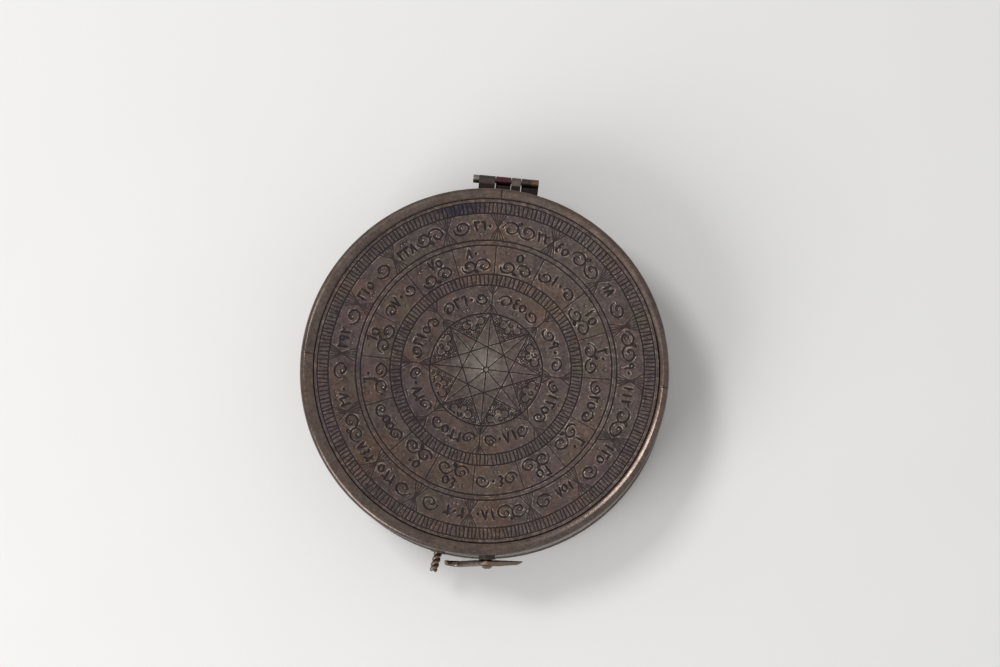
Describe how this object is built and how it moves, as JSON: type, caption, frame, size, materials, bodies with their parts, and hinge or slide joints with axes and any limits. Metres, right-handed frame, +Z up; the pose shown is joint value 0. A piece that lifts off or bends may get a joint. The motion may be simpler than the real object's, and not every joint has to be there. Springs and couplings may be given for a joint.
{
  "type": "qibla indicator",
  "caption": "Round hinged brass box with an engraved lid, holding a compass, a degree dial with a turning index and a folding sundial gnomon.",
  "frame": {"origin": "centre of the flat underside, on the axis of the round case", "axes": "+Z up through the lid, +Y towards the hinge, +X to the right when the hinge is at the back"},
  "size_m": [0.075, 0.0824, 0.019],
  "materials": {
    "aged_brass": "worn, tarnished brown-grey",
    "inner_brass": "dull, dark",
    "dial_brass": "satin, lightly tarnished",
    "hinge_brass": "filed, tarnished",
    "catch_brass": "hammered, tarnished",
    "needle_steel": "blued",
    "pin_steel": "plain, slightly rusted",
    "card_brass": "silvered, engraved",
    "glass": "clear, polished"
  },
  "bodies": {
    "case": {"case_base": "aged_brass", "case_wall": "aged_brass", "case_sleeve": "inner_brass", "dial_ledge": "inner_brass", "dial_plate": "dial_brass", "dial_screws": "dial_brass", "compass_bowl": "inner_brass", "compass_card": "card_brass", "needle_pivot": "pin_steel", "compass_glass": "glass", "glass_ring": "dial_brass", "index_collar": "dial_brass", "index_rivet": "dial_brass", "gnomon_bracket": "dial_brass", "gnomon_pin": "pin_steel", "hinge_leaf_case": "hinge_brass", "hinge_pin": "hinge_brass", "hinge_rivets_case": "hinge_brass", "catch_stud": "catch_brass", "stud_washer": "catch_brass"},
    "lid": {"lid_rim": "aged_brass", "lid_plate": "aged_brass", "hinge_leaf_lid": "hinge_brass", "hinge_rivets_lid": "hinge_brass", "hook_rivet": "catch_brass", "hook_washer": "catch_brass"},
    "hook": {"catch_hook": "catch_brass"},
    "needle": {"needle": "needle_steel", "needle_cap": "dial_brass"},
    "index": {"index_arm": "dial_brass"},
    "gnomon": {"gnomon": "dial_brass"}
  },
  "joints": [
    {"name": "lid_hinge", "type": "hinge", "parent": "case", "child": "lid", "pos_m": [0, 0.0401, 0.012], "axis": [-1, 0, 0], "range_deg": [0, 180]},
    {"name": "hook_swing", "type": "hinge", "parent": "lid", "child": "hook", "pos_m": [0.0044, -0.0386, 0.015], "axis": [0.1132, -0.9936, 0], "range_deg": [-26, 30]},
    {"name": "needle_spin", "type": "hinge", "parent": "case", "child": "needle", "pos_m": [0, -0.0155, 0.0055], "axis": [0, 0, 1], "continuous": true},
    {"name": "index_turn", "type": "hinge", "parent": "case", "child": "index", "pos_m": [0, 0, 0.0096], "axis": [0, 0, 1], "continuous": true},
    {"name": "gnomon_fold", "type": "hinge", "parent": "case", "child": "gnomon", "pos_m": [0, 0.011, 0.0085], "axis": [0, -1, 0], "range_deg": [0, 90]}
  ]
}
